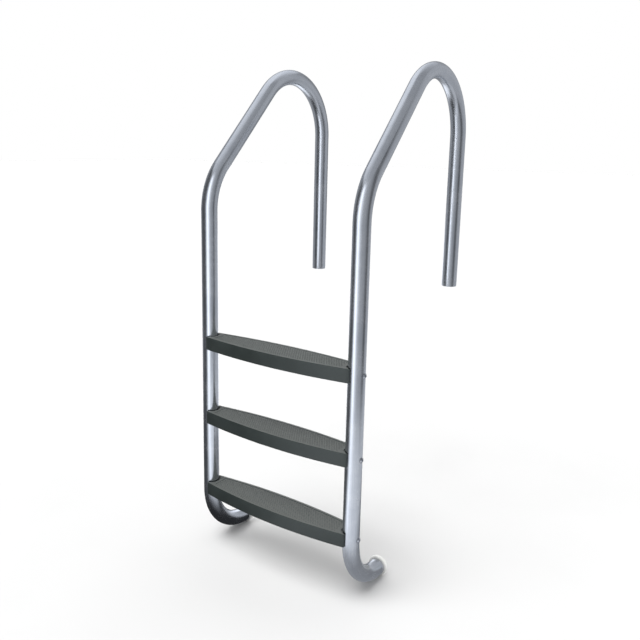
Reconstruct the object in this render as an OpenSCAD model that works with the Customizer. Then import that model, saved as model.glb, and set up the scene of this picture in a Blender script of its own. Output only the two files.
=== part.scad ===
// Pool ladder: two bent tube rails, three moulded treads and the bolts that hold them.
// X runs across the treads, +Y from the swimmer towards the pool deck, +Z up.
// The origin is the middle of the ladder's footprint, at the height of its lowest point.

/* [Rails] */
// Outside diameter of the rail tube
tube_d = 48.3; // [42:0.1:50]
// Wall thickness of the rail tube
tube_wall = 1.65; // [1.2:0.05:2.5]
// Distance between the two rails, centre to centre
rail_spacing = 515; // [440:1:560]
// Centreline radius of the quarter turn at the foot
foot_r = 168; // [150:1:200]
// Straight length of the upright, from the foot bend to the knee bend
upright_len = 886; // [820:1:1000]
// Centreline radius of the knee bend
knee_r = 186; // [120:1:240]
// Straight length of the slope between the knee bend and the bow
slope_len = 322; // [260:1:380]
// Centreline radius of the bow over the deck
bow_r = 190; // [150:1:230]
// Straight length of the deck leg, from the bow to its end
leg_len = 480; // [300:1:520]
// Length of the slightly reduced lead-in at the end of the deck leg
leadin_len = 6.5; // [0:0.5:12]
// How much the lead-in's radius is reduced
leadin_step = 0.4; // [0.1:0.1:1]

/* [Treads] */
// Height of the bottom tread's top face above the centre of the foot bend
first_tread = 32; // [20:1:60]
// Distance from one tread to the next
tread_pitch = 238; // [220:1:260]
// Height of a tread's side faces
tread_h = 40; // [32:1:45]
// Front face of a tread at its ends, ahead of the rail's centreline
front_end = 28.5; // [28.5:0.5:32]
// Extra reach of the front face at mid span
front_bow = 21; // [10:1:30]
// Rear face of a tread at its ends, behind the rail's centreline
rear_end = 30; // [28.5:0.5:40]
// Extra reach of the rear face at mid span
rear_bow = 18; // [5:1:25]
// How far a tread's ends stop short of the rail's centreline
end_gap = 7; // [5:0.5:12]
// Thickness of the tread's walls and top skin
tread_wall = 4; // [3:0.5:5]
// Thickness of the solid wall behind each tube notch
end_wall = 8; // [6:0.5:12]
// Width of the relief around the tube at the top of each notch
relief_w = 3; // [1:0.2:3]
// Depth of that relief
relief_h = 4; // [2:0.5:8]
// Thickness of the stiffening ribs under the tread
rib_t = 3; // [2:0.5:5]
// How far the ribs stop short of the tread's open underside
rib_inset = 3; // [1:0.5:8]
// Number of cross ribs under the tread
rib_count = 7; // [3:2:11]
// Length of the two ribs that trap a nut, past the nut's outer face
trap_past_nut = 8; // [2:1:12]
// Height of the rib along the span
spine_h = 21.5; // [10:0.5:24]

/* [Fasteners] */
// Thread diameter of the tread bolts
bolt_d = 8; // [6:1:10]
// Length of a tread bolt under its head
bolt_len = 70; // [68:1:74]
// Diameter of the domed bolt head
head_d = 16.5; // [14:0.5:20]
// Height of the domed bolt head
head_h = 4.5; // [3:0.5:6]
// Width across the flats of the hex socket in the head
socket_af = 5; // [4:0.5:6]
// Depth of that socket
socket_depth = 2.7; // [1.5:0.1:3]
// Clearance on diameter of the bolt holes
hole_play = 0.5; // [0.2:0.1:1]
// Outside diameter of the washers
washer_d = 16; // [14:0.5:18]
// Thickness of the washers
washer_t = 1.6; // [1:0.1:2]
// Width across the flats of the nuts
nut_af = 13; // [12:0.5:14]
// Height of the nuts
nut_h = 8; // [6:0.5:9]

/* [Foot bumpers] */
// Diameter of the bumper's disc
bumper_d = 60; // [54:1:66]
// Thickness of the bumper's disc
bumper_t = 13; // [8:1:18]
// Radius of the disc's rounded edges
bumper_round = 4; // [2:0.5:4.5]
// Length of the plug that goes into the tube
plug_len = 14; // [10:1:16]
// Gap between the plug and the tube's bore, on radius
plug_gap = 1; // [0.5:0.1:2]
// Gap between the plug's sealing ring and the bore, on radius
seal_gap = 0.1; // [0.1:0.1:0.4]
// Thickness of the sealing ring
seal_t = 3; // [2:0.5:4]
// Distance from the disc to the sealing ring
seal_at = 3; // [2:0.5:5]

/* [Hidden] */
$fn = 72;
// Facets of the long shallow arcs along a tread
arc_fn = 720;

left = -1;
right = 1;
bottom = 0;
middle = 1;
top = 2;

tube_r = tube_d / 2;
bore_r = tube_r - tube_wall;
rail_x = rail_spacing / 2;

// The foot bend's centre stands this high, with the bumper's disc touching the ground
foot_z = foot_r + bumper_d / 2;
// The slope leans half a right angle from the upright, and the bow turns it straight down
knee_turn = 45;
bow_turn = 180 - knee_turn;
// How far the deck leg stands behind the upright, centre to centre
leg_y = knee_r * (1 - cos(knee_turn)) + slope_len * sin(knee_turn) + bow_r * (1 + cos(knee_turn));

// The upright stands where the ladder's front and back come out equally far from the origin
front_reach = front_end + front_bow;
rear_reach = rear_end + rear_bow;
upright_y = (front_reach - leg_y - tube_r) / 2;

bolt_r = bolt_d / 2;
hole_r = (bolt_d + hole_play) / 2;
notch_x = rail_x - tube_r;
cavity_x = notch_x - end_wall;
under_top = tread_h - tread_wall;
nut_trap_len = washer_t + nut_h + trap_past_nut;
// The rib along the span stops short of the bolts' ends
spine_x = cavity_x - nut_trap_len - rib_t;
// How far a cutter reaches past what it cuts, and a rib into what it joins
eps = 1;

function tread_top(level) = foot_z + first_tread + level * tread_pitch;
function bolt_z(level) = tread_top(level) - tread_h / 2;

// Radius of the arc through two ends a span apart that bulges by rise at mid span
function bow_radius(span, rise) = (span * span / 4 + rise * rise) / (2 * rise);

// ---- Rails ----

// Each piece of tube starts at the origin of its own frame and heads along +Z, and bends
// turn it towards +Y, so the pieces of a rail are drawn one inside the frame of the last.

// Cross-section of the tube
module tube_ring(outer_r) {
    difference() {
        circle(r = outer_r);
        circle(r = bore_r);
    }
}

// The quarter turn puts the tube's seam in front, in line with the bends and off the bolt holes
module straight(length, outer_r = tube_r) {
    rotate([0, 0, -90])
        linear_extrude(height = length) tube_ring(outer_r);
}

module bend(path_r, turn) {
    translate([0, path_r, 0])
        rotate([90, 0, 90])
            rotate([0, 0, 180 - turn])
                rotate_extrude(angle = turn)
                    translate([path_r, 0]) tube_ring(tube_r);
}

// Moves its children to the far end of a straight
module past_straight(length) {
    translate([0, 0, length]) children();
}

// Moves its children to the far end of a bend
module past_bend(path_r, turn) {
    translate([0, path_r, 0])
        rotate([-turn, 0, 0])
            translate([0, -path_r, 0])
                children();
}

module deck_leg() {
    straight(leg_len - leadin_len);
    past_straight(leg_len - leadin_len) straight(leadin_len, tube_r - leadin_step);
}

module bow_and_leg() {
    bend(bow_r, bow_turn);
    past_bend(bow_r, bow_turn) deck_leg();
}

module slope_and_on() {
    straight(slope_len);
    past_straight(slope_len) bow_and_leg();
}

module knee_and_on() {
    bend(knee_r, knee_turn);
    past_bend(knee_r, knee_turn) slope_and_on();
}

// The whole tube, from its foot to the end of its deck leg
module bent_tube() {
    translate([0, 0, foot_z]) {
        rotate([0, 180, 0]) bend(foot_r, 90);
        straight(upright_len);
        past_straight(upright_len) knee_and_on();
    }
}

module rail(side) {
    color([0.66, 0.69, 0.74])
        translate([side * rail_x, upright_y, 0])
            difference() {
                bent_tube();
                for (level = [bottom : top])
                    translate([-tube_r - eps, 0, bolt_z(level)])
                        rotate([0, 90, 0])
                            cylinder(h = tube_d + 2 * eps, r = hole_r);
            }
}

// ---- Treads ----

// Plan of a tread, with every wall set in by inset: a strip cut by two long arcs
module tread_plan(half_x, inset) {
    span = 2 * (rail_x - end_gap);
    front_r = bow_radius(span, front_bow);
    rear_r = bow_radius(span, rear_bow);
    intersection() {
        translate([-half_x, -front_reach - eps])
            square([2 * half_x, front_reach + rear_reach + 2 * eps]);
        translate([0, front_r - front_reach]) circle(r = front_r - inset, $fn = arc_fn);
        translate([0, rear_reach - rear_r]) circle(r = rear_r - inset, $fn = arc_fn);
    }
}

module tread_shell() {
    difference() {
        linear_extrude(height = tread_h) tread_plan(rail_x - end_gap, 0);
        translate([0, 0, -eps])
            linear_extrude(height = under_top + eps) tread_plan(cavity_x, tread_wall);
    }
}

// Ribs under the top skin: one along the span, a row across it, and a pair that traps each nut
module tread_ribs() {
    rib_h = under_top - rib_inset;
    rib_gap = 2 * cavity_x / (rib_count + 1);
    intersection() {
        linear_extrude(height = tread_h) tread_plan(cavity_x + eps, tread_wall - eps / 2);
        union() {
            for (i = [1 : rib_count])
                translate([i * rib_gap - cavity_x - rib_t / 2, -front_reach, rib_inset])
                    cube([rib_t, front_reach + rear_reach, rib_h]);
            for (side = [left, right], edge = [left, right])
                translate([side * (cavity_x - nut_trap_len / 2) - nut_trap_len / 2,
                           edge * (nut_af + rib_t + hole_play) / 2 - rib_t / 2, rib_inset])
                    cube([nut_trap_len, rib_t, rib_h]);
            translate([-spine_x, -rib_t / 2, under_top - spine_h])
                cube([2 * spine_x, rib_t, spine_h]);
        }
    }
}

module tread(level) {
    color([0.28, 0.32, 0.31])
        translate([0, upright_y, tread_top(level) - tread_h])
            difference() {
                union() {
                    tread_shell();
                    tread_ribs();
                }
                for (side = [left, right]) {
                    translate([side * rail_x, 0, -eps])
                        cylinder(h = tread_h + 2 * eps, r = tube_r);
                    translate([side * rail_x, 0, tread_h - relief_h])
                        cylinder(h = relief_h + eps, r = tube_r + relief_w);
                    translate([side * (rail_x - tube_r - end_wall - eps), 0, tread_h / 2])
                        rotate([0, side * 90, 0])
                            cylinder(h = end_wall + tube_r, r = hole_r);
                    translate([side * (cavity_x - washer_t / 2), 0, tread_h / 2])
                        rotate([0, side * 90, 0])
                            cylinder(h = washer_t, r = washer_d / 2 + hole_play, center = true);
                }
            }
}

// ---- Fasteners ----

// Puts a fastener that is drawn along +Z, head at the origin, onto a tread end's bolt line,
// with its origin at distance x from the middle of the ladder and +Z pointing inwards
module on_bolt_line(level, side, x) {
    translate([side * x, upright_y, bolt_z(level)])
        rotate([0, -side * 90, 0])
            children();
}

module bolt(level, side) {
    // Radius of the sphere that the domed head is a cap of
    dome_r = bow_radius(head_d, head_h);
    color([0.72, 0.73, 0.75])
        on_bolt_line(level, side, rail_x + tube_r)
            difference() {
                union() {
                    cylinder(h = bolt_len, r = bolt_r);
                    intersection() {
                        translate([0, 0, dome_r - head_h]) sphere(r = dome_r);
                        translate([0, 0, -head_h]) cylinder(h = head_h, r = head_d / 2);
                    }
                }
                translate([0, 0, -head_h - eps])
                    cylinder(h = socket_depth + eps, r = socket_af / sqrt(3), $fn = 6);
            }
}

module washer(level, side) {
    color([0.75, 0.76, 0.78])
        on_bolt_line(level, side, cavity_x)
            difference() {
                cylinder(h = washer_t, r = washer_d / 2);
                translate([0, 0, -eps]) cylinder(h = washer_t + 2 * eps, r = hole_r);
            }
}

module nut(level, side) {
    color([0.70, 0.71, 0.73])
        on_bolt_line(level, side, cavity_x - washer_t)
            difference() {
                cylinder(h = nut_h, r = nut_af / sqrt(3), $fn = 6);
                translate([0, 0, -eps]) cylinder(h = nut_h + 2 * eps, r = bolt_r);
            }
}

// ---- Foot bumpers ----

// Half section of the bumper, turned about its own axis: the plug, a sealing ring and the disc
module bumper_section() {
    disc_r = bumper_d / 2;
    translate([0, -plug_len]) square([bore_r - plug_gap, plug_len]);
    translate([0, -seal_at - seal_t]) square([bore_r - seal_gap, seal_t]);
    square([disc_r - bumper_round, bumper_t]);
    translate([0, bumper_round]) square([disc_r, bumper_t - 2 * bumper_round]);
    for (y = [bumper_round, bumper_t - bumper_round])
        translate([disc_r - bumper_round, y]) circle(r = bumper_round);
}

module foot_bumper(side) {
    color([0.93, 0.93, 0.92])
        translate([side * rail_x, upright_y + foot_r, foot_z - foot_r])
            rotate([-90, 0, 0])
                rotate_extrude() bumper_section();
}

// ---- Nodes ----

rail(left);  // left_rail
rail(right);  // right_rail
tread(top);  // top_tread
tread(middle);  // middle_tread
tread(bottom);  // bottom_tread
foot_bumper(left);  // left_foot_bumper
foot_bumper(right);  // right_foot_bumper
bolt(top, left);  // top_left_bolt
bolt(top, right);  // top_right_bolt
bolt(middle, left);  // middle_left_bolt
bolt(middle, right);  // middle_right_bolt
bolt(bottom, left);  // bottom_left_bolt
bolt(bottom, right);  // bottom_right_bolt
washer(top, left);  // top_left_washer
washer(top, right);  // top_right_washer
washer(middle, left);  // middle_left_washer
washer(middle, right);  // middle_right_washer
washer(bottom, left);  // bottom_left_washer
washer(bottom, right);  // bottom_right_washer
nut(top, left);  // top_left_nut
nut(top, right);  // top_right_nut
nut(middle, left);  // middle_left_nut
nut(middle, right);  // middle_right_nut
nut(bottom, left);  // bottom_left_nut
nut(bottom, right);  // bottom_right_nut
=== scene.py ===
# Pool ladder: the look of the bent rails, moulded treads, fasteners and foot bumpers.
# Lengths are in metres, in the ladder's own frame: +X to the right rail, +Y to the deck, +Z up.
import bpy
import bmesh
from math import atan2, cos, pi, radians, sin, sqrt
from mathutils import Matrix, Vector
from mathutils.geometry import tessellate_polygon


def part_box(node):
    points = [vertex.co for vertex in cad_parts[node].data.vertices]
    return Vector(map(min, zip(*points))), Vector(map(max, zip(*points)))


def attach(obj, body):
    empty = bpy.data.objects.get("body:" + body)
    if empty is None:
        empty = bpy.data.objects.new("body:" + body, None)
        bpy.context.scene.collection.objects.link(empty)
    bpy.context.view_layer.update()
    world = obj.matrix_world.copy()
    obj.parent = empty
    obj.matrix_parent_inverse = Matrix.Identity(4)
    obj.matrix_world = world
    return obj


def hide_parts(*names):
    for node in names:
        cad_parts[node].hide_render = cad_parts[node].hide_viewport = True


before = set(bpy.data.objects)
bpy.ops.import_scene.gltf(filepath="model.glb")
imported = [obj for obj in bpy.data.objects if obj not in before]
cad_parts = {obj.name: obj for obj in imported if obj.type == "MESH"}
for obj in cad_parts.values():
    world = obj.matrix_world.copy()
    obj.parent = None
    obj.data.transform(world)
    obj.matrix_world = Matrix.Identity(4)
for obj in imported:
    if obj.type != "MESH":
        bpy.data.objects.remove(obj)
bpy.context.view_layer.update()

# ---- Sizes of the ladder ----

TUBE_R = 0.02415
TUBE_WALL = 0.00165
TUBE_SIDES = 72
RAIL_X = 0.2575
FOOT_R = 0.168
UPRIGHT = 0.886
KNEE_R = 0.186
KNEE_TURN = 45
SLOPE = 0.322
BOW_R = 0.190
LEG = 0.480
LEAD_IN = 0.0065
LEAD_IN_STEP = 0.0004
RIM_ROUND = 0.0003

LEVELS = ("bottom", "middle", "top")
SIDES = ("left", "right")
TREAD_H = 0.040
TREAD_PITCH = 0.238
FIRST_TREAD_TOP = 0.230
FRONT_REACH = 0.0495
FRONT_BOW = 0.021
REAR_REACH = 0.048
REAR_BOW = 0.018
TREAD_END = 0.2505
TREAD_WALL = 0.004
CAVITY_X = 0.22535
RELIEF_W = 0.003
RELIEF_H = 0.004

# Ribs under a tread, and how far they reach into its top skin and its walls
RIB_COUNT = 7
RIB_T = 0.003
RIB_LOW = 0.003
RIB_BITE = 0.001
RIB_GRIP = 0.0005
SPINE_X = 0.2047
SPINE_H = 0.0215
TRAP_X = 0.20775
TRAP_NEAR = 0.00675
TRAP_FAR = TRAP_NEAR + RIB_T

# Pebbles on a tread's top
FIELD_X = 0.2175
FIELD_MARGIN = 0.0118
ROW_PITCH = 0.0064
PEBBLE_PITCH = 0.0074
PEBBLE_R = 0.0029
PEBBLE_H = 0.0013

BOLT_R = 0.0040
BOLT_LEN = 0.0700
BOLT_HEAD_R = 0.00825
BOLT_HEAD_H = 0.0045
SOCKET_FLATS = 0.0050
SOCKET_DEPTH = 0.0027
THREAD_START = 0.0405
THREAD_GROOVES = 23
THREAD_PITCH = 0.00125
THREAD_CREST = 0.00398
THREAD_ROOT = 0.0034
WASHER_BORE = 0.00425
WASHER_R = 0.008
WASHER_T = 0.0016
NUT_FLATS = 0.013
NUT_H = 0.0080

BUMPER_R = 0.030
BUMPER_T = 0.013
BUMPER_ROUND = 0.004
PLUG_LEN = 0.014
PLUG_BEVEL = 0.0012
PLUG_GAP = 0.0010
SEAL_GAP = 0.0001

UPRIGHT_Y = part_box("top_left_bolt")[0][1] + BOLT_HEAD_R
FOOT_Z = FOOT_R + BUMPER_R


def arc_radius(rise):
    """Radius of a tread's long edge, which bulges by rise between the two ends."""
    return (TREAD_END ** 2 + rise ** 2) / (2 * rise)


FRONT_R = arc_radius(FRONT_BOW)
REAR_R = arc_radius(REAR_BOW)


# ---- Helpers for meshes ----

def mesh_of(bm, name):
    """Turns a finished bmesh into a mesh and frees it."""
    bm.normal_update()
    mesh = bpy.data.meshes.new(name)
    bm.to_mesh(mesh)
    bm.free()
    return mesh


def skin_between(bm, lower, upper):
    """Joins two closed loops of as many points with a band of four-sided faces."""
    for i in range(len(lower)):
        j = (i + 1) % len(lower)
        bm.faces.new((lower[i], lower[j], upper[j], upper[i]))


def turned(bm, rings, to_place, loop=False):
    """Joins rings of points into a skin round an axis, closed by a fan at each end unless it loops."""
    rows = [[bm.verts.new(to_place(p)) for p in ring] for ring in rings]
    count = len(rows[0])
    pairs = list(zip(rows, rows[1:])) + ([(rows[-1], rows[0])] if loop else [])
    for low, high in pairs:
        skin_between(bm, low, high)
    if not loop:
        for row, flip in ((rows[0], True), (rows[-1], False)):
            middle = bm.verts.new(sum((v.co for v in row), Vector()) / count)
            for i in range(count):
                edge = (row[i], row[(i + 1) % count])
                bm.faces.new((middle, *(reversed(edge) if flip else edge)))


def round_ring(radius, height, sides=48):
    """A circle's points at a height."""
    turns = [2 * pi * i / sides for i in range(sides)]
    return [(radius * cos(turn), radius * sin(turn), height) for turn in turns]


def hex_ring(across_flats, height, sides=48, most=1.0):
    """A hexagon's outline, with its corners cut back to the circle of radius most."""
    points = []
    for i in range(sides):
        turn = 2 * pi * i / sides
        radius = min(most, across_flats / 2 / cos(turn % (pi / 3) - pi / 6))
        points.append((radius * cos(turn), radius * sin(turn), height))
    return points


def quarter(radius, steps=5):
    """Points of a quarter round, from the side of an edge to its top, as (inset, drop)."""
    return [(radius * (1 - cos(pi / 2 * i / steps)), radius * (1 - sin(pi / 2 * i / steps)))
            for i in range(steps + 1)]


def finish_mesh(mesh, angle=35):
    """Points the faces outwards, shades them smooth and keeps the real edges crisp."""
    bm = bmesh.new()
    bm.from_mesh(mesh)
    bmesh.ops.recalc_face_normals(bm, faces=bm.faces)
    bm.to_mesh(mesh)
    bm.free()
    mesh.shade_smooth()
    mesh.set_sharp_from_angle(angle=radians(angle))
    return mesh


def add_object(name, data):
    """Adds an object to the scene."""
    item = bpy.data.objects.new(name, data)
    bpy.context.scene.collection.objects.link(item)
    return item


def place(name, mesh, material, nodes):
    """Adds a finished piece, which rides on the ladder's body and stands for CAD nodes."""
    piece = add_object(name, mesh)
    if not mesh.materials:
        mesh.materials.append(material)
    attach(piece, "root")
    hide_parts(*nodes)


# ---- Helpers for node trees ----

def wire(tree, socket, value):
    """Links a socket to another, or sets its plain value."""
    if hasattr(value, "is_output"):
        tree.links.new(value, socket)
    else:
        socket.default_value = value


def put(tree, kind, inputs=None, **settings):
    """Adds a node, sets its properties and fills its inputs by name or number."""
    node = tree.nodes.new(kind)
    for key, value in settings.items():
        setattr(node, key, value)
    for key, value in (inputs or {}).items():
        wire(tree, node.inputs[key], value)
    return node


def math_of(tree, operation, *values):
    """One step of arithmetic on sockets or numbers."""
    return put(tree, "ShaderNodeMath", dict(enumerate(values)), operation=operation).outputs[0]


def vector_of(tree, x=0.0, y=0.0, z=0.0):
    """A vector made of three sockets or numbers."""
    return put(tree, "ShaderNodeCombineXYZ", {"X": x, "Y": y, "Z": z}).outputs[0]


def parts_of(tree, vector):
    """The x, y and z of a vector."""
    return put(tree, "ShaderNodeSeparateXYZ", {0: vector}).outputs


def is_more(tree, first, second):
    """Whether the first value is more than the second."""
    return put(tree, "FunctionNodeCompare", {"A": first, "B": second}, operation="GREATER_THAN").outputs[0]


def place_of(tree):
    """The place of each point."""
    return put(tree, "GeometryNodeInputPosition").outputs[0]


def kept_value(tree, geometry, kind, name, value):
    """Keeps a value of each point as it is now; gives the geometry and the kept value."""
    node = put(tree, "GeometryNodeCaptureAttribute", {"Geometry": geometry})
    node.capture_items.new(kind, name)
    wire(tree, node.inputs[1], value)
    return node.outputs[0], node.outputs[1]


def joined(tree, *parts):
    """Joins geometries, in the order given."""
    node = put(tree, "GeometryNodeJoinGeometry")
    for part in parts:
        tree.links.new(part, node.inputs[0])
    return node.outputs[0]


def new_maker(name, inputs):
    """Starts a Geometry Nodes tree with named inputs and returns it with its input sockets."""
    tree = bpy.data.node_groups.new(name, "GeometryNodeTree")
    for label, kind in inputs.items():
        tree.interface.new_socket(label, in_out="INPUT", socket_type="NodeSocket" + kind)
    tree.interface.new_socket("Geometry", in_out="OUTPUT", socket_type="NodeSocketGeometry")
    return tree, tree.nodes.new("NodeGroupInput").outputs


def end_maker(tree, geometry, material):
    """Ends a tree: instances made real, edges kept crisp, material set."""
    real = put(tree, "GeometryNodeRealizeInstances", {"Geometry": geometry}).outputs[0]
    smooth = put(tree, "GeometryNodeSetShadeSmooth", {"Geometry": real, "Shade Smooth": True}).outputs[0]
    angle = put(tree, "GeometryNodeInputMeshEdgeAngle").outputs["Unsigned Angle"]
    crisp = is_more(tree, angle, radians(35))
    edged = put(tree, "GeometryNodeSetShadeSmooth",
                {"Geometry": smooth, "Selection": crisp, "Shade Smooth": False}, domain="EDGE").outputs[0]
    painted = put(tree, "GeometryNodeSetMaterial", {"Geometry": edged, "Material": material}).outputs[0]
    put(tree, "NodeGroupOutput", {"Geometry": painted})


def grown(name, tree, start, values):
    """Runs a tree on a starting mesh and returns the plain mesh it makes."""
    maker = add_object(name + "_maker", start)
    modifier = maker.modifiers.new("make", "NODES")
    modifier.node_group = tree
    for item in tree.interface.items_tree:
        if item.in_out == "INPUT" and item.name in values:
            modifier[item.identifier] = values[item.name]
    depsgraph = bpy.context.evaluated_depsgraph_get()
    mesh = bpy.data.meshes.new_from_object(
        maker.evaluated_get(depsgraph), preserve_all_data_layers=True, depsgraph=depsgraph)
    mesh.name = name
    maker.modifiers.remove(modifier)
    bpy.data.objects.remove(maker)
    return mesh


# ---- Finishes ----

def new_finish(name, **shader):
    """Starts a material and sets its all-over values on the shader itself."""
    material = bpy.data.materials.new(name)
    material.use_nodes = True
    tree = material.node_tree
    skin = tree.nodes["Principled BSDF"]
    for label, value in shader.items():
        skin.inputs[label.replace("_", " ")].default_value = value
    return material, tree, skin


def cloud(tree, vector, scale, detail=3.0, rough=0.5):
    """A soft noise over the surface."""
    return put(tree, "ShaderNodeTexNoise",
               {"Vector": vector, "Scale": scale, "Detail": detail, "Roughness": rough}).outputs["Fac"]


def spread(tree, value, low, high, start=0.3, end=0.7):
    """Maps a noise value onto the range from low to high."""
    return put(tree, "ShaderNodeMapRange",
               {"Value": value, "From Min": start, "From Max": end, "To Min": low, "To Max": high}).outputs[0]


def blend_of(tree, value, first, second):
    """Blends from the first colour to the second, each given as three numbers or as a socket."""
    first, second = [colour if hasattr(colour, "is_output") else (*colour, 1) for colour in (first, second)]
    return put(tree, "ShaderNodeMix", {0: value, 6: first, 7: second}, data_type="RGBA").outputs[2]


def relief_of(tree, height, strength, distance, under=None):
    """Bumps the surface by a height, on top of the bumps under it."""
    inputs = {"Height": height, "Strength": strength, "Distance": distance}
    if under is not None:
        inputs["Normal"] = under
    return put(tree, "ShaderNodeBump", inputs).outputs[0]


def stretched(tree, vector, scale):
    """Scales a place by another amount along each axis."""
    return put(tree, "ShaderNodeVectorMath", {0: vector, 1: scale}, operation="MULTIPLY").outputs[0]


def here_on(tree):
    """The place on the piece itself."""
    return put(tree, "ShaderNodeTexCoord").outputs["Object"]


def polished_tube():
    """Polished stainless tube: a fine grain along it, faint drawing streaks, haze and tiny dimples."""
    material, tree, skin = new_finish("polished_tube", Metallic=1.0, Anisotropic=0.35)
    along = put(tree, "ShaderNodeAttribute", attribute_name="along").outputs["Vector"]
    grain = cloud(tree, stretched(tree, along, (2600, 2600, 9)), 1.0, 2.0)
    streak = cloud(tree, stretched(tree, along, (380, 380, 2.5)), 1.0, 3.0, 0.6)
    haze = cloud(tree, along, 14.0, 4.0, 0.6)
    fine = cloud(tree, along, 420.0, 2.0)
    cloudy = blend_of(tree, spread(tree, haze, 0, 1), (0.56, 0.585, 0.625), (0.66, 0.68, 0.71))
    lined = blend_of(tree, spread(tree, streak, 0.0, 0.30), cloudy, (0.40, 0.42, 0.46))
    wire(tree, skin.inputs["Base Color"], lined)
    gloss = math_of(tree, "ADD", spread(tree, grain, 0.16, 0.25), spread(tree, haze, -0.02, 0.06))
    wire(tree, skin.inputs["Roughness"], math_of(tree, "ADD", gloss, spread(tree, streak, -0.02, 0.03)))
    bump = relief_of(tree, grain, 0.14, 0.00004)
    wire(tree, skin.inputs["Normal"], relief_of(tree, fine, 0.06, 0.00006, bump))
    return material


def bright_steel():
    """Bright stainless fasteners: turned grain and a little wear."""
    material, tree, skin = new_finish("bright_steel", Metallic=1.0)
    here = here_on(tree)
    grain = cloud(tree, stretched(tree, here, (300, 2400, 2400)), 1.0, 2.0)
    wear = cloud(tree, here, 160.0, 3.0)
    wire(tree, skin.inputs["Base Color"],
         blend_of(tree, spread(tree, wear, 0, 1), (0.46, 0.48, 0.52), (0.60, 0.61, 0.64)))
    wire(tree, skin.inputs["Roughness"], spread(tree, grain, 0.14, 0.26))
    wire(tree, skin.inputs["Normal"], relief_of(tree, grain, 0.15, 0.00005))
    return material


def moulded_plastic():
    """Dark grey-green moulded plastic with a fine grain; its colour is painted lighter where it faces up, as
    painted top light.
    """
    material, tree, skin = new_finish("moulded_plastic", IOR=1.5)
    here = here_on(tree)
    grain = cloud(tree, here, 1500.0, 3.0, 0.6)
    patch = cloud(tree, here, 22.0, 4.0, 0.55)
    # Painted top light: the colour is made lighter where the surface faces up, standing in for the light that
    # falls on the tread tops.
    facing = parts_of(tree, put(tree, "ShaderNodeNewGeometry").outputs["Normal"])
    painted_top_light_mask = spread(tree, facing[2], 0, 1, 0.75, 0.98)
    speckle = cloud(tree, here, 260.0, 3.0, 0.6)
    plastic_own_colour = blend_of(tree, spread(tree, patch, 0, 1), (0.020, 0.028, 0.026), (0.027, 0.036, 0.034))
    painted_top_light = blend_of(tree, spread(tree, speckle, 0, 1), (0.074, 0.081, 0.076), (0.108, 0.114, 0.107))
    wire(tree, skin.inputs["Base Color"], blend_of(tree, painted_top_light_mask, plastic_own_colour, painted_top_light))
    wire(tree, skin.inputs["Roughness"],
         math_of(tree, "ADD", spread(tree, patch, 0.40, 0.50), spread(tree, grain, -0.04, 0.06)))
    wire(tree, skin.inputs["Normal"], relief_of(tree, grain, 0.30, 0.00010))
    return material


def white_rubber():
    """White moulded rubber: satin, with faint grey smudges."""
    material, tree, skin = new_finish("white_rubber", IOR=1.45)
    here = here_on(tree)
    smudge = cloud(tree, here, 45.0, 4.0, 0.6)
    grain = cloud(tree, here, 1300.0, 2.0)
    wire(tree, skin.inputs["Base Color"],
         blend_of(tree, spread(tree, smudge, 0, 1, 0.35, 0.6), (0.80, 0.80, 0.78), (0.88, 0.88, 0.87)))
    wire(tree, skin.inputs["Roughness"], spread(tree, smudge, 0.55, 0.42))
    wire(tree, skin.inputs["Normal"], relief_of(tree, grain, 0.2, 0.0001))
    return material


def studio_floor():
    """Pale matt floor with a barely visible unevenness."""
    material, tree, skin = new_finish("studio_floor", Roughness=0.9, Specular_IOR_Level=0.0)
    here = here_on(tree)
    wire(tree, skin.inputs["Base Color"],
         blend_of(tree, spread(tree, cloud(tree, here, 1.4), 0, 1), (0.60, 0.60, 0.60), (0.62, 0.62, 0.62)))
    return material


def studio_card():
    """A card that shines as brightly as its points' glow says."""
    material = bpy.data.materials.new("studio_card")
    material.use_nodes = True
    tree = material.node_tree
    tree.nodes.remove(tree.nodes["Principled BSDF"])
    bright = put(tree, "ShaderNodeAttribute", attribute_name="glow").outputs["Fac"]
    shine = put(tree, "ShaderNodeEmission", {"Color": (0.93, 0.965, 1.03, 1), "Strength": bright})
    wire(tree, tree.nodes["Material Output"].inputs["Surface"], shine.outputs[0])
    return material


STEEL = polished_tube()
BRIGHT = bright_steel()
PLASTIC = moulded_plastic()
RUBBER = white_rubber()


# ---- Rails ----

def bent(points, centre, radius, start, turn, step=2.5):
    """Adds a bend about centre to a route of (y, z) points; its angles run from -Y towards +Z."""
    count = round(turn / step)
    for i in range(1, count + 1):
        angle = radians(start + turn * i / count)
        points.append((centre[0] - radius * cos(angle), centre[1] + radius * sin(angle)))


def straight(points, end, count):
    """Adds a straight run to a route of (y, z) points, from its last point to end."""
    y, z = points[-1]
    for i in range(1, count + 1):
        points.append((y + (end[0] - y) * i / count, z + (end[1] - z) * i / count))


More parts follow.
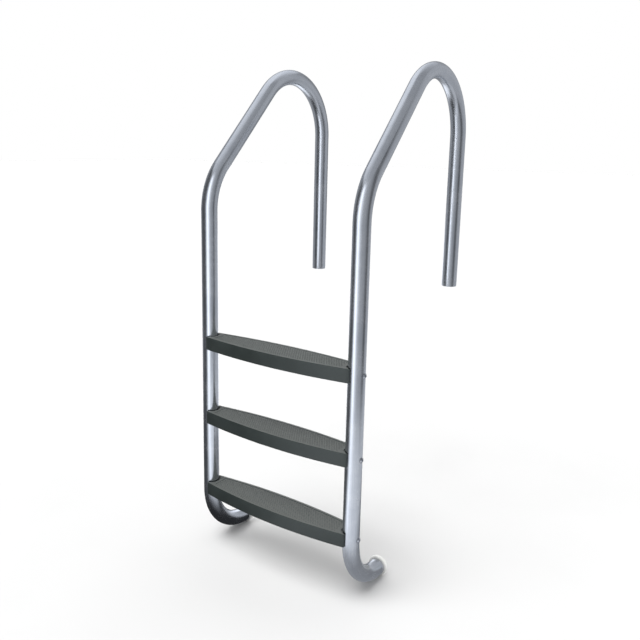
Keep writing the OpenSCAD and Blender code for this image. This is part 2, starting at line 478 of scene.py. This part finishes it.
def rail_route():
    """The rail's centreline from its foot to the end of its deck leg, as (y, z, girth) points."""
    foot_y = UPRIGHT_Y + FOOT_R
    points = [(foot_y, FOOT_Z - FOOT_R)]
    bent(points, (foot_y, FOOT_Z), FOOT_R, -90, 90)
    straight(points, (UPRIGHT_Y, FOOT_Z + UPRIGHT), 18)
    bent(points, (UPRIGHT_Y + KNEE_R, FOOT_Z + UPRIGHT), KNEE_R, 0, KNEE_TURN)
    y, z = points[-1]
    lean = radians(KNEE_TURN)
    straight(points, (y + SLOPE * sin(lean), z + SLOPE * cos(lean)), 8)
    y, z = points[-1]
    bent(points, (y + BOW_R * cos(lean), z - BOW_R * sin(lean)), BOW_R, KNEE_TURN, 180 - KNEE_TURN)
    y, z = points[-1]
    straight(points, (y, z - LEG + LEAD_IN), 9)
    end_z = z - LEG
    slim = 1 - LEAD_IN_STEP / TUBE_R
    rim = 1 - RIM_ROUND / TUBE_R
    route = [(*point, 1.0) for point in points]
    route[0] = (*points[0], rim)
    route.insert(1, (points[0][0] - RIM_ROUND, points[0][1], 1.0))
    route += [(y, end_z + LEAD_IN - LEAD_IN_STEP, slim), (y, end_z + RIM_ROUND, slim),
              (y, end_z, slim * rim)]
    return route


def tube_maker():
    """Sweeps a tube with a wall along a route, narrowed where the route's girth says so."""
    tree, given = new_maker("Bent tube", {
        "Route": "Geometry", "Tube radius": "Float", "Wall": "Float", "Sides": "Int", "Finish": "Material"})
    line = put(tree, "GeometryNodeMeshToCurve", {"Mesh": given["Route"]}).outputs[0]
    length = put(tree, "GeometryNodeSplineParameter").outputs["Length"]
    path, run = kept_value(tree, line, "FLOAT", "run", length)
    circle = put(tree, "GeometryNodeCurvePrimitiveCircle",
                 {"Resolution": given["Sides"], "Radius": given["Tube radius"]}).outputs[0]
    ring, rim = kept_value(tree, circle, "VECTOR", "rim", place_of(tree))
    girth = put(tree, "GeometryNodeInputNamedAttribute", {"Name": "girth"}, data_type="FLOAT").outputs[0]
    swept = put(tree, "GeometryNodeCurveToMesh",
                {"Curve": path, "Profile Curve": ring, "Scale": girth}).outputs[0]
    across = parts_of(tree, rim)
    along = vector_of(tree, across[0], across[1], run)
    noted = put(tree, "GeometryNodeStoreNamedAttribute",
                {"Geometry": swept, "Name": "along", "Value": along},
                data_type="FLOAT_VECTOR", domain="POINT").outputs[0]
    inward = math_of(tree, "MULTIPLY", given["Wall"], -1.0)
    inner = put(tree, "GeometryNodeExtrudeMesh",
                {"Mesh": noted, "Offset Scale": inward, "Individual": False}, mode="FACES").outputs[0]
    lining = put(tree, "GeometryNodeFlipFaces", {"Mesh": inner}).outputs[0]
    both = joined(tree, noted, lining)
    welded = put(tree, "GeometryNodeMergeByDistance", {"Geometry": both, "Distance": 1e-6}).outputs[0]
    end_maker(tree, welded, given["Finish"])
    return tree


def rail(side, tree):
    """One rail, bent from a single tube."""
    x = -RAIL_X if side == "left" else RAIL_X
    route = rail_route()
    mesh = bpy.data.meshes.new(side + "_route")
    mesh.from_pydata([(x, y, z) for y, z, girth in route], [(i, i + 1) for i in range(len(route) - 1)], [])
    girths = mesh.attributes.new("girth", "FLOAT", "POINT")
    girths.data.foreach_set("value", [girth for y, z, girth in route])
    made = grown(side + "_rail_tube", tree, mesh,
                 {"Tube radius": TUBE_R, "Wall": TUBE_WALL, "Sides": TUBE_SIDES, "Finish": STEEL})
    place(side + "_rail_tube", made, STEEL, [side + "_rail"])


tube_tree = tube_maker()
for side in SIDES:
    rail(side, tube_tree)


# ---- Treads ----

def front_line(x, inset=0.0):
    """How far a tread's front edge is towards the deck from the rails' centreline at x, if set in."""
    r = FRONT_R - inset
    return FRONT_R - FRONT_REACH - sqrt(r * r - x * x)


def rear_line(x, inset=0.0):
    """How far a tread's rear edge is towards the deck from the rails' centreline at x, if set in."""
    r = REAR_R - inset
    return REAR_REACH - REAR_R + sqrt(r * r - x * x)


def tread_plan(inset, notch_r, corner=0.0016, long_steps=40, corner_steps=4, notch_steps=24):
    """A tread's outline, anticlockwise, with rounded corners and a notch round each tube."""
    end = TREAD_END - inset
    notch = notch_r + inset
    tip = sqrt(notch ** 2 - (RAIL_X - end) ** 2)
    front = [(x, front_line(x, inset)) for x in
             (-end + corner + 2 * (end - corner) * i / long_steps for i in range(long_steps + 1))]
    right = []
    low = front_line(end, inset)
    for i in range(1, corner_steps + 1):
        turn = pi / 2 * i / corner_steps
        right.append((end - corner + corner * sin(turn), low + corner * (1 - cos(turn))))
    start = atan2(-tip, end - RAIL_X)
    sweep = 2 * pi + 2 * start
    for i in range(notch_steps + 1):
        turn = start - sweep * i / notch_steps
        right.append((RAIL_X + notch * cos(turn), notch * sin(turn)))
    high = rear_line(end, inset)
    for i in range(corner_steps):
        turn = pi / 2 * i / corner_steps
        right.append((end - corner + corner * cos(turn), high - corner + corner * sin(turn)))
    rear = [(x, rear_line(x, inset)) for x in
            (end - corner - 2 * (end - corner) * i / long_steps for i in range(long_steps + 1))]
    left = [(-x, y) for x, y in reversed(right)]
    return front + right + rear + left


def cavity_plan(inset, long_steps=24):
    """Outline of the hollow under a tread, or of the field on top of it, with plain ends."""
    end = CAVITY_X + TREAD_WALL - inset
    xs = [-end + 2 * end * i / long_steps for i in range(long_steps + 1)]
    return [(x, front_line(x, inset)) for x in xs] + [(x, rear_line(x, inset)) for x in reversed(xs)]


def fill_between(bm, outer, inner, upwards):
    """Fills the flat ring between an outline and a hole in it, or the whole outline."""
    loops = [[v.co for v in outer]] + ([[v.co for v in inner]] if inner else [])
    verts = outer + (inner or [])
    for a, b, c in tessellate_polygon(loops):
        corner = [verts[a], verts[b], verts[c]]
        normal = (corner[1].co - corner[0].co).cross(corner[2].co - corner[0].co)
        if normal.length < 1e-14:
            continue
        if (normal.z > 0) != upwards:
            corner.reverse()
        bm.faces.new(corner)


def loop_at(bm, plan, height):
    """Adds an outline's points at a height."""
    return [bm.verts.new((x, y, height)) for x, y in plan]


def tread_shell():
    """One tread without ribs: rounded edges, tube notches, a border and a sunk field on top, hollow below."""
    bm = bmesh.new()
    edge = 0.0012
    below = 0.0008
    sunk = 0.0009
    border = 0.0085
    wide = TUBE_R + RELIEF_W
    stack = [(inset, height, TUBE_R) for inset, height in reversed(quarter(below, 3))]
    stack.append((0.0, TREAD_H - RELIEF_H, TUBE_R))
    stack.append((0.0, TREAD_H - RELIEF_H, wide))
    stack += [(inset, TREAD_H - drop, wide) for inset, drop in quarter(edge, 5)]
    loops = [loop_at(bm, tread_plan(inset, notch), z) for inset, z, notch in stack]
    for lower, upper in zip(loops, loops[1:]):
        skin_between(bm, lower, upper)
    lip = loop_at(bm, cavity_plan(border), TREAD_H)
    fill_between(bm, loops[-1], lip, True)
    field = loop_at(bm, cavity_plan(border + sunk), TREAD_H - sunk)
    skin_between(bm, lip, field)
    fill_between(bm, field, None, True)
    mouth = loop_at(bm, cavity_plan(TREAD_WALL), 0.0)
    fill_between(bm, loops[0], mouth, False)
    roof = loop_at(bm, cavity_plan(TREAD_WALL), TREAD_H - TREAD_WALL)
    skin_between(bm, mouth, roof)
    fill_between(bm, roof, None, False)
    bmesh.ops.remove_doubles(bm, verts=bm.verts, dist=2e-6)
    bmesh.ops.dissolve_degenerate(bm, edges=bm.edges, dist=1e-6)
    return finish_mesh(mesh_of(bm, "tread_shell"))


def add_rib(bm, low, high):
    """Adds a rib as a box between two opposite corners."""
    low, high = Vector(low), Vector(high)
    size = Matrix.Diagonal((*(high - low), 1))
    bmesh.ops.create_cube(bm, size=1.0, matrix=Matrix.Translation((low + high) / 2) @ size)


def spine_and_traps():
    """The rib along a tread's span and the pairs of short ribs that stop the nuts from turning."""
    bm = bmesh.new()
    roof = TREAD_H - TREAD_WALL
    top = roof + RIB_BITE
    add_rib(bm, (-SPINE_X, -RIB_T / 2, roof - SPINE_H), (SPINE_X, RIB_T / 2, top))
    for x_low, x_high in ((-CAVITY_X, -TRAP_X), (TRAP_X, CAVITY_X)):
        for y_low, y_high in ((-TRAP_FAR, -TRAP_NEAR), (TRAP_NEAR, TRAP_FAR)):
            add_rib(bm, (x_low, y_low, RIB_LOW), (x_high, y_high, top))
    return mesh_of(bm, "spine_and_traps")


def tread_maker():
    """Adds cross ribs below a tread's shell and rows of low pebbles on the field on top."""
    tree, given = new_maker("Tread ribs and pebbles", {
        "Shell": "Geometry", "Spine": "Object", "Rib count": "Int", "Rib thickness": "Float",
        "Rib low": "Float", "Rib high": "Float", "Front radius": "Float", "Rear radius": "Float",
        "Front reach": "Float", "Rear reach": "Float", "Half span": "Float", "Wall": "Float",
        "Field half span": "Float", "Field margin": "Float", "Row pitch": "Float", "Pebble pitch": "Float",
        "Pebble radius": "Float", "Pebble height": "Float", "Field height": "Float", "Seed": "Int",
        "Finish": "Material"})

    def sub(*v):
        return math_of(tree, "SUBTRACT", *v)

    def add(*v):
        return math_of(tree, "ADD", *v)

    def mul(*v):
        return math_of(tree, "MULTIPLY", *v)

    def div(*v):
        return math_of(tree, "DIVIDE", *v)

    def edges_at(x, inset):
        """Front and rear y of the long arcs at x, set in."""
        square = mul(x, x)
        front_r, rear_r = sub(given["Front radius"], inset), sub(given["Rear radius"], inset)
        front = sub(sub(given["Front radius"], given["Front reach"]),
                    math_of(tree, "SQRT", sub(mul(front_r, front_r), square)))
        rear = add(sub(given["Rear reach"], given["Rear radius"]),
                   math_of(tree, "SQRT", sub(mul(rear_r, rear_r), square)))
        return front, rear

    # Cross ribs, each as long as the hollow is deep where it stands
    gap = div(mul(given["Half span"], 2.0), add(given["Rib count"], 1.0))
    start = vector_of(tree, sub(gap, given["Half span"]))
    line = put(tree, "GeometryNodeMeshLine",
               {"Count": given["Rib count"], "Start Location": start, "Offset": vector_of(tree, gap)},
               mode="OFFSET").outputs[0]
    front, rear = edges_at(parts_of(tree, place_of(tree))[0], sub(given["Wall"], RIB_GRIP))
    size = vector_of(tree, given["Rib thickness"], sub(rear, front), sub(given["Rib high"], given["Rib low"]))
    centres, rib_size = kept_value(tree, line, "VECTOR", "size", size)
    middle = div(add(given["Rib low"], given["Rib high"]), 2.0)
    shift = vector_of(tree, 0.0, div(add(front, rear), 2.0), middle)
    settled = put(tree, "GeometryNodeSetPosition", {"Geometry": centres, "Offset": shift}).outputs[0]
    bar = put(tree, "GeometryNodeMeshCube").outputs[0]
    ribs = put(tree, "GeometryNodeInstanceOnPoints",
               {"Points": settled, "Instance": bar, "Scale": rib_size}).outputs[0]

    # Pebbles in staggered rows that follow the front edge
    columns = math_of(tree, "ROUND", div(mul(given["Field half span"], 2.0), given["Pebble pitch"]))
    rows = math_of(tree, "ROUND", div(add(given["Front reach"], given["Rear reach"]), given["Row pitch"]))
    grid = put(tree, "GeometryNodeMeshGrid", {
        "Size X": mul(columns, given["Pebble pitch"]), "Size Y": mul(rows, given["Row pitch"]),
        "Vertices X": add(columns, 1.0), "Vertices Y": add(rows, 1.0)}).outputs[0]
    spot = parts_of(tree, place_of(tree))
    row = math_of(tree, "ROUND", add(div(spot[1], given["Row pitch"]), div(rows, 2.0)))
    odd = math_of(tree, "MODULO", row, 2.0)
    x = add(spot[0], mul(sub(odd, 0.5), div(given["Pebble pitch"], 2.0)))
    front_in, rear_in = edges_at(x, given["Field margin"])
    y = add(front_in, mul(row, given["Row pitch"]))
    target = vector_of(tree, x, y, given["Field height"])
    past_rear = is_more(tree, y, rear_in)
    past_end = is_more(tree, math_of(tree, "ABSOLUTE", x), given["Field half span"])
    outside = put(tree, "FunctionNodeBooleanMath", {0: past_rear, 1: past_end}, operation="OR").outputs[0]
    marked, was_outside = kept_value(tree, grid, "BOOLEAN", "outside", outside)
    set_out = put(tree, "GeometryNodeSetPosition", {"Geometry": marked, "Position": target}).outputs[0]
    spots = put(tree, "GeometryNodeDeleteGeometry",
                {"Geometry": set_out, "Selection": was_outside}, domain="POINT").outputs[0]
    dome = put(tree, "GeometryNodeMeshUVSphere", {"Segments": 8, "Rings": 4, "Radius": 1.0}).outputs[0]
    vary = put(tree, "FunctionNodeRandomValue", {2: 0.85, 3: 1.12, "Seed": given["Seed"]}, data_type="FLOAT")
    wide = mul(given["Pebble radius"], vary.outputs[1])
    girth = vector_of(tree, wide, wide, given["Pebble height"])
    pebbles = put(tree, "GeometryNodeInstanceOnPoints",
                  {"Points": spots, "Instance": dome, "Scale": girth}).outputs[0]

    spine = put(tree, "GeometryNodeObjectInfo", {"Object": given["Spine"]}).outputs["Geometry"]
    end_maker(tree, joined(tree, pebbles, ribs, spine, given["Shell"]), given["Finish"])
    return tree


def treads():
    """The three treads, alike but for the girths of their pebbles."""
    shell = tread_shell()
    spine = add_object("spine_pattern", spine_and_traps())
    tree = tread_maker()
    for number, level in enumerate(LEVELS):
        name = level + "_tread_moulding"
        mesh = grown(name, tree, shell.copy(), {
            "Spine": spine, "Rib count": RIB_COUNT, "Rib thickness": RIB_T, "Rib low": RIB_LOW,
            "Rib high": TREAD_H - TREAD_WALL + RIB_BITE, "Front radius": FRONT_R, "Rear radius": REAR_R,
            "Front reach": FRONT_REACH, "Rear reach": REAR_REACH, "Half span": CAVITY_X, "Wall": TREAD_WALL,
            "Field half span": FIELD_X, "Field margin": FIELD_MARGIN, "Row pitch": ROW_PITCH,
            "Pebble pitch": PEBBLE_PITCH, "Pebble radius": PEBBLE_R, "Pebble height": PEBBLE_H,
            "Field height": TREAD_H - PEBBLE_H,
            "Seed": 3 + number, "Finish": PLASTIC})
        top = FIRST_TREAD_TOP + number * TREAD_PITCH
        mesh.transform(Matrix.Translation((0, UPRIGHT_Y, top - TREAD_H)))
        place(name, mesh, PLASTIC, [level + "_tread"])
    bpy.data.objects.remove(spine)


treads()


# ---- Fasteners ----

def bolt_pattern():
    """A domed socket-head bolt, drawn along +Z from under its head, with ring grooves for its thread."""
    crown = -BOLT_HEAD_H
    soft = 0.0002
    mouth = 0.0034
    dome = (BOLT_HEAD_R ** 2 + BOLT_HEAD_H ** 2) / (2 * BOLT_HEAD_H)
    rings = [hex_ring(0.0012, crown + SOCKET_DEPTH), hex_ring(SOCKET_FLATS, crown + SOCKET_DEPTH),
             hex_ring(SOCKET_FLATS, crown + 0.00045), hex_ring(SOCKET_FLATS + 0.0003, crown + 0.00025)]
    for i in range(9):
        radius = mouth + (BOLT_HEAD_R - soft - mouth) * i / 8
        rings.append(round_ring(radius, dome + crown - sqrt(dome ** 2 - radius ** 2)))
    rings += [round_ring(BOLT_HEAD_R, -soft / 2), round_ring(BOLT_HEAD_R - soft, 0.0),
              round_ring(BOLT_R, 0.0), round_ring(BOLT_R, THREAD_START - 0.0005)]
    for i in range(THREAD_GROOVES):
        z = THREAD_START + i * THREAD_PITCH
        rings.append(round_ring(THREAD_CREST, z))
        rings.append(round_ring(THREAD_CREST, z + 0.18 * THREAD_PITCH))
        rings.append(round_ring(THREAD_ROOT, z + 0.52 * THREAD_PITCH))
        rings.append(round_ring(THREAD_ROOT, z + 0.66 * THREAD_PITCH))
    rings += [round_ring(0.0039, BOLT_LEN - 0.0007), round_ring(0.0032, BOLT_LEN)]
    bm = bmesh.new()
    turned(bm, rings, Vector)
    return finish_mesh(mesh_of(bm, "bolt_pattern"), 30)


def washer_pattern():
    """A flat washer with softened edges."""
    soft = 0.0002
    rings = [round_ring(WASHER_BORE, soft), round_ring(WASHER_BORE + soft, 0.0),
             round_ring(WASHER_R - soft, 0.0), round_ring(WASHER_R, soft),
             round_ring(WASHER_R, WASHER_T - soft), round_ring(WASHER_R - soft, WASHER_T),
             round_ring(WASHER_BORE + soft, WASHER_T), round_ring(WASHER_BORE, WASHER_T - soft)]
    bm = bmesh.new()
    turned(bm, rings, Vector, loop=True)
    return finish_mesh(mesh_of(bm, "washer_pattern"), 30)


def nut_pattern():
    """A hexagon nut with chamfered corners and a collar that grips the bolt."""
    cut = 0.00655
    rings = [round_ring(BOLT_R, 0.0004), round_ring(0.0045, 0.0), hex_ring(NUT_FLATS, 0.0, most=cut),
             hex_ring(NUT_FLATS, 0.0006), hex_ring(NUT_FLATS, 0.0056),
             hex_ring(NUT_FLATS, 0.0062, most=cut), round_ring(0.0058, 0.0063),
             round_ring(0.0055, 0.0076), round_ring(0.0051, NUT_H), round_ring(0.0044, NUT_H),
             round_ring(BOLT_R, NUT_H - 0.0003)]
    bm = bmesh.new()
    turned(bm, rings, Vector, loop=True)
    return finish_mesh(mesh_of(bm, "nut_pattern"), 30)


def fastener_maker():
    """Puts a copy of a fastener on each bolt line, its axis turned inwards."""
    tree, given = new_maker("Fasteners on the bolt lines", {
        "Seats": "Geometry", "Fastener": "Object", "Inset": "Float", "Finish": "Material"})
    facing = put(tree, "GeometryNodeInputNamedAttribute", {"Name": "facing"}, data_type="FLOAT").outputs[0]
    shift = vector_of(tree, math_of(tree, "MULTIPLY", facing, given["Inset"]))
    moved = put(tree, "GeometryNodeSetPosition", {"Geometry": given["Seats"], "Offset": shift}).outputs[0]
    turn = vector_of(tree, y=math_of(tree, "MULTIPLY", facing, pi / 2))
    turned_in = put(tree, "FunctionNodeEulerToRotation", {0: turn}).outputs[0]
    shape = put(tree, "GeometryNodeObjectInfo", {"Object": given["Fastener"]}).outputs["Geometry"]
    copies = put(tree, "GeometryNodeInstanceOnPoints",
                 {"Points": moved, "Instance": shape, "Rotation": turned_in}).outputs[0]
    end_maker(tree, copies, given["Finish"])
    return tree


def bolt_seats():
    """A point where each bolt's head bears on the tube, with the way its shank points."""
    mesh = bpy.data.meshes.new("bolt_seats")
    ways = (1.0, -1.0)
    seats = [(way * -(RAIL_X + TUBE_R), UPRIGHT_Y, FIRST_TREAD_TOP + n * TREAD_PITCH - TREAD_H / 2)
             for n in range(len(LEVELS)) for way in ways]
    mesh.from_pydata(seats, [], [])
    mesh.attributes.new("facing", "FLOAT", "POINT").data.foreach_set("value", ways * len(LEVELS))
    return mesh


def fasteners():
    """All bolts, all washers and all nuts, each kind as one piece."""
    tree = fastener_maker()
    to_washer = RAIL_X + TUBE_R - CAVITY_X
    for kind, pattern, inset in (("bolt", bolt_pattern, 0.0), ("washer", washer_pattern, to_washer),
                                 ("nut", nut_pattern, to_washer + WASHER_T)):
        shape = add_object(kind + "_pattern", pattern())
        mesh = grown("tread_" + kind + "s", tree, bolt_seats(),
                     {"Fastener": shape, "Inset": inset, "Finish": BRIGHT})
        bpy.data.objects.remove(shape)
        nodes = [f"{level}_{side}_{kind}" for level in LEVELS for side in SIDES]
        place("tread_" + kind + "s", mesh, BRIGHT, nodes)


fasteners()


# ---- Foot bumpers ----

def bumper_profile():
    """Half a bumper's section as (radius, distance out of the tube): plug, sealing ring, disc, groove."""
    plug = TUBE_R - TUBE_WALL - PLUG_GAP
    seal = TUBE_R - TUBE_WALL - SEAL_GAP
    groove = BUMPER_T - 0.0005
    profile = [(0.0, -PLUG_LEN), (plug - PLUG_BEVEL, -PLUG_LEN), (plug, PLUG_BEVEL - PLUG_LEN),
               (plug, -0.0062), (seal, -0.0056), (seal, -0.0036), (plug, -0.0030), (plug, 0.0)]
    profile += [(BUMPER_R - inset, drop) for inset, drop in reversed(quarter(BUMPER_ROUND, 6))]
    profile += [(BUMPER_R - inset, BUMPER_T - drop) for inset, drop in quarter(BUMPER_ROUND, 6)]
    profile += [(0.0215, BUMPER_T), (0.0205, groove), (0.0190, groove), (0.0180, BUMPER_T), (0.0, BUMPER_T)]
    return profile


def bumper(side):
    """A white rubber foot: a plug with a sealing ring and a round-edged disc with a fine ring groove."""
    x = -RAIL_X if side == "left" else RAIL_X
    base = Vector((x, UPRIGHT_Y + FOOT_R, FOOT_Z - FOOT_R))
    bm = bmesh.new()
    rings = [round_ring(max(radius, 0.0004), height, 64) for radius, height in bumper_profile()]
    turned(bm, rings, lambda p: base + Vector((p[0], p[2], p[1])))
    mesh = finish_mesh(mesh_of(bm, side + "_bumper"), 40)
    place(side + "_foot_pad", mesh, RUBBER, [side + "_foot_bumper"])


for side in SIDES:
    bumper(side)


# ---- Studio ----

# What the polished tubes see around them: angle and brightness of the cards that stand round the
# ladder, low and high, of the ones that lie on the floor and of the ones overhead. The angles run
# anticlockwise, seen from above, from the side the camera is on.
CARD_FRONT = -55.5
SIDE_CARDS = ((-160, 0.44), (-114, 0.38), (-98, 0.13), (-68, 0.09), (-55, 0.24), (-44, 1.5), (-37, 2.1),
              (-27, 2.0), (-17, 1.05), (-6, 0.66), (8, 0.48), (28, 0.42), (40, 0.32), (49, 0.15),
              (65, 0.14), (76, 0.48), (120, 0.56))
LOW_CARDS = ((-180, 1.7), (-170, 1.5)) + SIDE_CARDS + ((150, 0.56), (164, 0.50), (172, 1.5), (180, 1.7))
HIGH_CARDS = ((-180, 0.40),) + SIDE_CARDS + ((150, 0.26), (180, 0.40))
FLOOR_CARDS = ((-180, 1.3), (-158, 1.2), (-148, 0.26), (-100, 0.09), (-66, 0.09), (-53, 0.6), (-38, 1.8),
               (-14, 1.15), (20, 0.90), (60, 0.70), (148, 0.60), (158, 1.2), (180, 1.3))
ROOF_CARDS = ((-180, 1.1), (-130, 1.05), (-100, 0.92), (-60, 0.72), (0, 0.50), (90, 0.38), (180, 1.1))
CARD_RADIUS = 1.3
CARD_FOOT = 0.3
CARD_SPLIT = (0.75, 1.0)
CARD_TOP = 2.3
CARD_MIDDLE = 0.02
CARD_FLOOR = 0.0015

EYE = (1.0939, -1.7940, 1.2758)
EYE_AZIMUTH = 34.531
EYE_ELEVATION = 11.196
EYE_ROLL = 0.952
EYE_LENS = 38.143
EYE_SHIFT = (0.0366, -0.0621)


def show(name, mesh):
    """Adds a thing for the studio, not attached to the ladder's body."""
    stage = add_object(name, mesh)
    return stage


def floor(reach=40):
    """A flat floor that runs far past the picture's edges."""
    mesh = bpy.data.meshes.new("floor")
    corners = [(-reach, -reach, 0), (reach, -reach, 0), (reach, reach, 0), (-reach, reach, 0)]
    mesh.from_pydata(corners, [], [(0, 1, 2, 3)])
    mesh.materials.append(studio_floor())
    show("floor", mesh)


def card_brightness(cards, angle):
    """Brightness of the cards at an angle, blended between the two angles listed next to it."""
    for (a, low), (b, high) in zip(cards, cards[1:]):
        if a <= angle <= b:
            return low + (high - low) * (angle - a) / (b - a)


def reflection_cards():
    """A ring of light and dark studio cards that show in reflections only."""
    front = radians(CARD_FRONT)
    rings = ((CARD_MIDDLE, CARD_FLOOR, FLOOR_CARDS, 0.35), (0.45, CARD_FLOOR, FLOOR_CARDS, 0.40),
             (0.75, CARD_FLOOR, FLOOR_CARDS, 1.0), (CARD_RADIUS, CARD_FLOOR, FLOOR_CARDS, 1.0),
             (CARD_RADIUS, CARD_FOOT, LOW_CARDS, 1.0), (CARD_RADIUS, CARD_SPLIT[0], LOW_CARDS, 1.0),
             (CARD_RADIUS, CARD_SPLIT[1], HIGH_CARDS, 1.0), (CARD_RADIUS, CARD_TOP, HIGH_CARDS, 1.0),
             (CARD_RADIUS, CARD_TOP + 0.01, ROOF_CARDS, 1.0), (CARD_MIDDLE, CARD_TOP + 0.5, ROOF_CARDS, 1.0))
    steps = range(-180, 180, 2)
    count = len(steps)
    verts, glow, faces = [], [], []
    for radius, height, cards, share in rings:
        for angle in steps:
            turn = front + radians(angle)
            verts.append((radius * cos(turn), radius * sin(turn), height))
            glow.append(card_brightness(cards, angle) * share)
    for ring in range(len(rings) - 1):
        low, high = ring * count, (ring + 1) * count
        for i in range(count):
            j = (i + 1) % count
            faces.append((low + i, low + j, high + j, high + i))
    mesh = bpy.data.meshes.new("reflection_cards")
    mesh.from_pydata(verts, [], faces)
    mesh.attributes.new("glow", "FLOAT", "POINT").data.foreach_set("value", glow)
    mesh.materials.append(studio_card())
    cards = show("reflection_cards", mesh)
    cards.visible_camera = False
    cards.visible_diffuse = False
    cards.visible_shadow = False
    cards.visible_transmission = False


def soft_sun():
    """One broad soft light from above and in front, which gives the faint shadows on the floor."""
    lamp = bpy.data.lights.new("key", "SUN")
    lamp.energy = 2.7
    lamp.angle = radians(34)
    light = add_object("key", lamp)
    light.rotation_euler = Vector((0.18, 0.70, -1.50)).to_track_quat("-Z", "Y").to_euler()
    light.visible_glossy = False


def studio_world():
    """A white backdrop all round, with the light itself weaker from the swimmer's side."""
    world = bpy.data.worlds.new("studio")
    world.use_nodes = True
    tree = world.node_tree
    way = put(tree, "ShaderNodeTexCoord").outputs["Generated"]
    ahead = put(tree, "ShaderNodeVectorMath", {0: way, 1: (0.15, -0.98, 0.0)},
                operation="DOT_PRODUCT").outputs[1]
    lighting = spread(tree, ahead, 1.15, 0.12, 0.10, 0.75)
    seen = put(tree, "ShaderNodeLightPath").outputs["Is Camera Ray"]
    strength = put(tree, "ShaderNodeMix", {0: seen, 2: lighting, 3: 1.0}).outputs[0]
    backdrop = tree.nodes["Background"]
    wire(tree, backdrop.inputs["Strength"], strength)
    wire(tree, backdrop.inputs["Color"], (1.0, 1.0, 1.0, 1))
    bpy.context.scene.world = world


def camera():
    """Looks at the ladder from its front right, slightly from above."""
    azimuth, elevation, roll = radians(EYE_AZIMUTH), radians(EYE_ELEVATION), radians(EYE_ROLL)
    back = Vector((sin(azimuth) * cos(elevation), -cos(azimuth) * cos(elevation), sin(elevation)))
    across = Vector((cos(azimuth), sin(azimuth), 0))
    above = back.cross(across)
    right = across * cos(roll) + above * sin(roll)
    up = above * cos(roll) - across * sin(roll)
    lens = bpy.data.cameras.new("camera")
    lens.sensor_width = 36
    lens.lens = EYE_LENS
    lens.shift_x, lens.shift_y = EYE_SHIFT
    lens.clip_end = 200
    eye = add_object("camera", lens)
    eye.matrix_world = Matrix.Translation(EYE) @ Matrix((right, up, back)).transposed().to_4x4()
    bpy.context.scene.camera = eye


floor()
reflection_cards()
studio_world()
soft_sun()
camera()
bpy.context.scene.view_settings.view_transform = "Standard"
